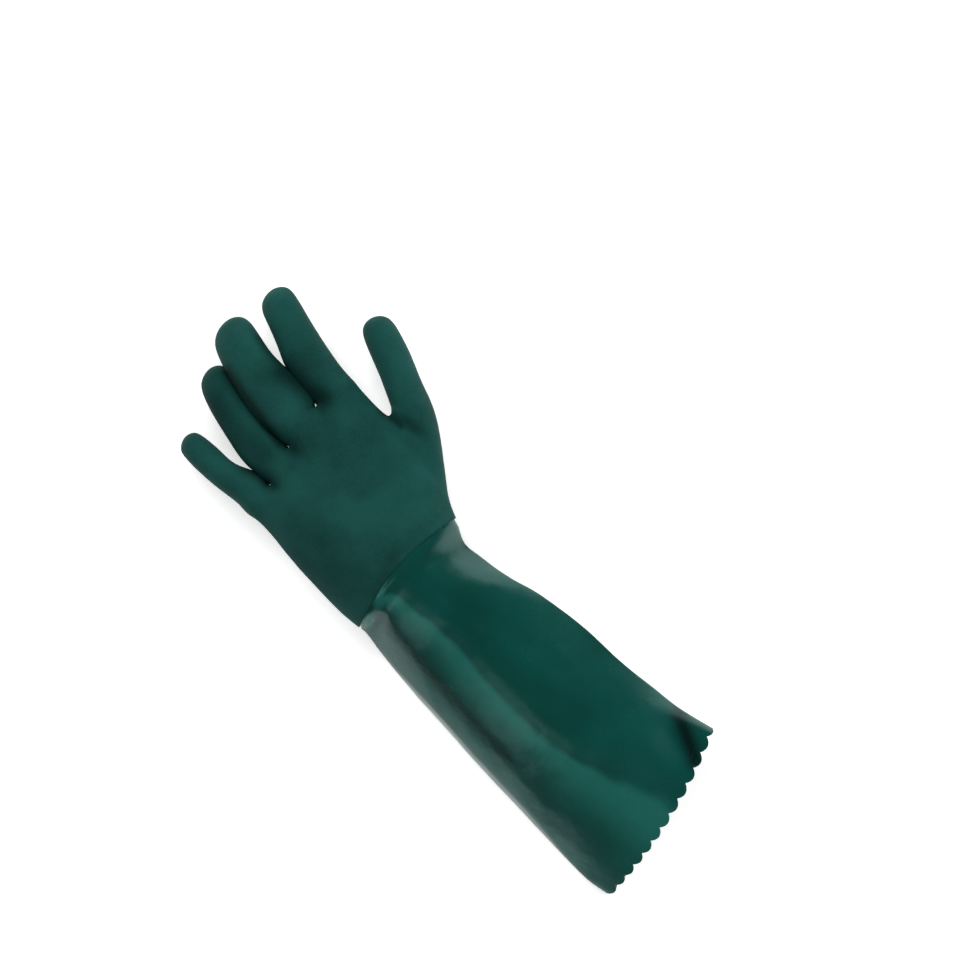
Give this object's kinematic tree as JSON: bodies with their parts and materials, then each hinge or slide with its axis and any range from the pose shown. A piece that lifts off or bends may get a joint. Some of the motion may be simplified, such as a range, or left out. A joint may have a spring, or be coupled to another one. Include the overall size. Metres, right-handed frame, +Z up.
{
  "type": "work glove",
  "caption": "Long PVC-coated work glove for the left hand, lying palm down: rough-coated hand and a smooth gauntlet sleeve with a pinked cuff.",
  "frame": {"origin": "under the middle of the glove's bounding box, on the surface that it lies on", "axes": "+Y from the cuff to the fingertips, +X towards the thumb, +Z up from the palm to the back of the hand"},
  "size_m": [0.1726, 0.482, 0.0537],
  "materials": {
    "rough_pvc": "matte, fine sandy texture",
    "smooth_pvc": "smooth and glossy"
  },
  "bodies": {
    "root": {"hand": "rough_pvc", "gauntlet_sleeve": "smooth_pvc"}
  },
  "joints": []
}
